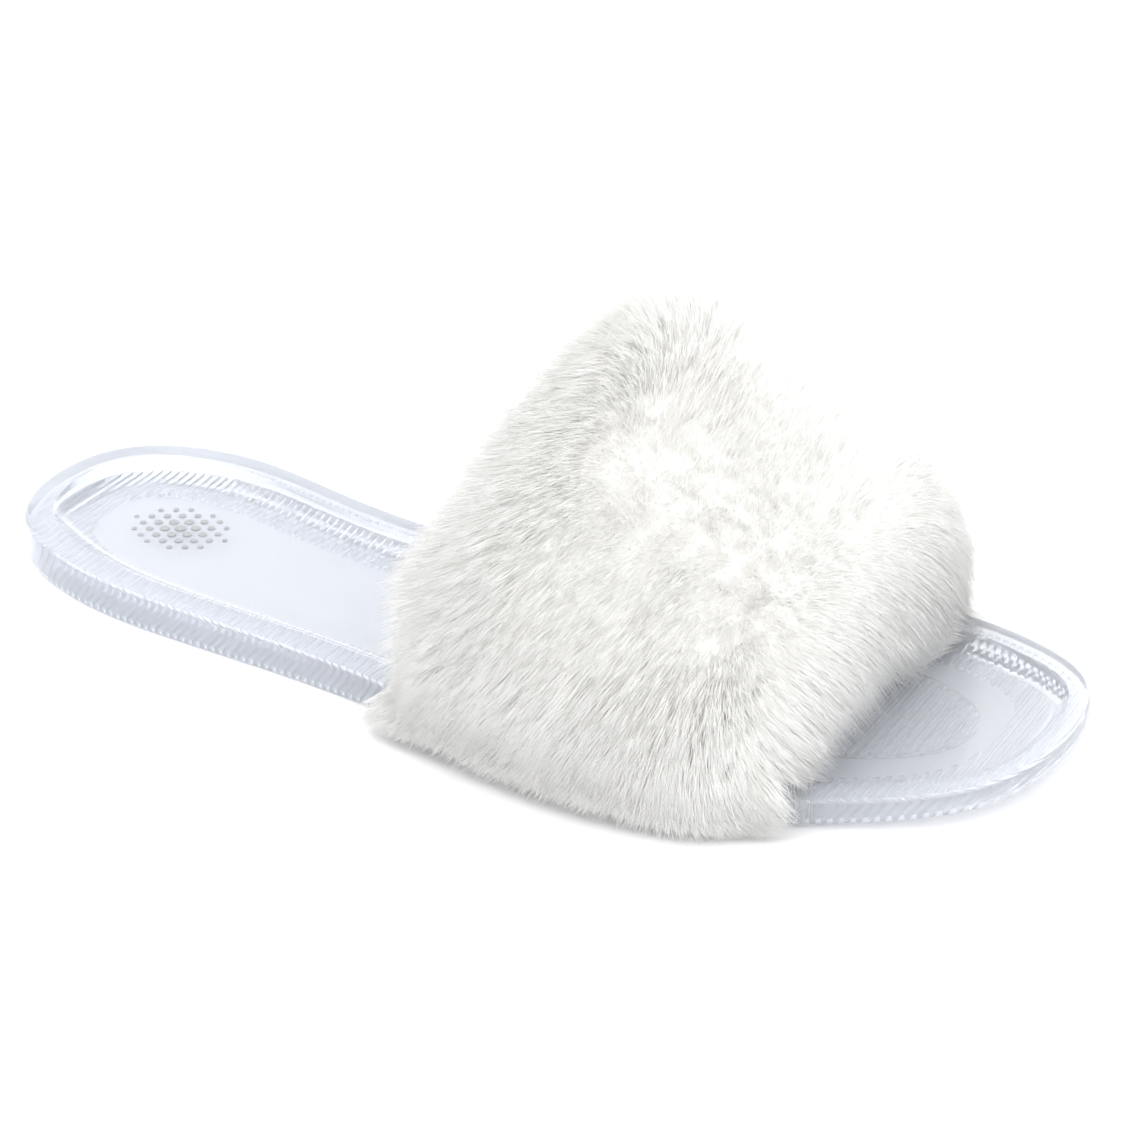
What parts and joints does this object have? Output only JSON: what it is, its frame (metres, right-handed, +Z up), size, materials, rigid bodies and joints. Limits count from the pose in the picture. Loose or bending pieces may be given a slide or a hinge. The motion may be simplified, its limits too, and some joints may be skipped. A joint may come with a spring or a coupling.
{
  "type": "faux fur strap slipper",
  "caption": "Open-toe, open-back house slipper: clear moulded sole with raised rim and ribbed tread, and one wide padded strap covered in long white pile.",
  "frame": {"origin": "centre of the whole slipper's bounding box, at floor level", "axes": "+X towards the toe, +Y towards the inner (medial) side of this right-foot slipper, +Z up"},
  "size_m": [0.257, 0.1344, 0.0896],
  "materials": {
    "clear_sole": "glossy clear soft plastic",
    "print_ink": "satin metallic ink",
    "core_web": "woven stiffening web",
    "lining": "brushed knit",
    "foam": "soft open-cell foam",
    "knit_backing": "knitted base of the pile",
    "fur": "long soft pile",
    "edge_tape": "woven tape",
    "thread": "twisted polyester"
  },
  "bodies": {
    "root": {"sole_unit": "clear_sole", "heel_print": "print_ink", "strap_core": "core_web", "strap_lining": "lining", "strap_foam": "foam", "fur_backing": "knit_backing", "fur_pile": "fur", "rear_edge_tape": "edge_tape", "front_edge_tape": "edge_tape", "rear_topstitch": "thread", "front_topstitch": "thread"}
  },
  "joints": []
}
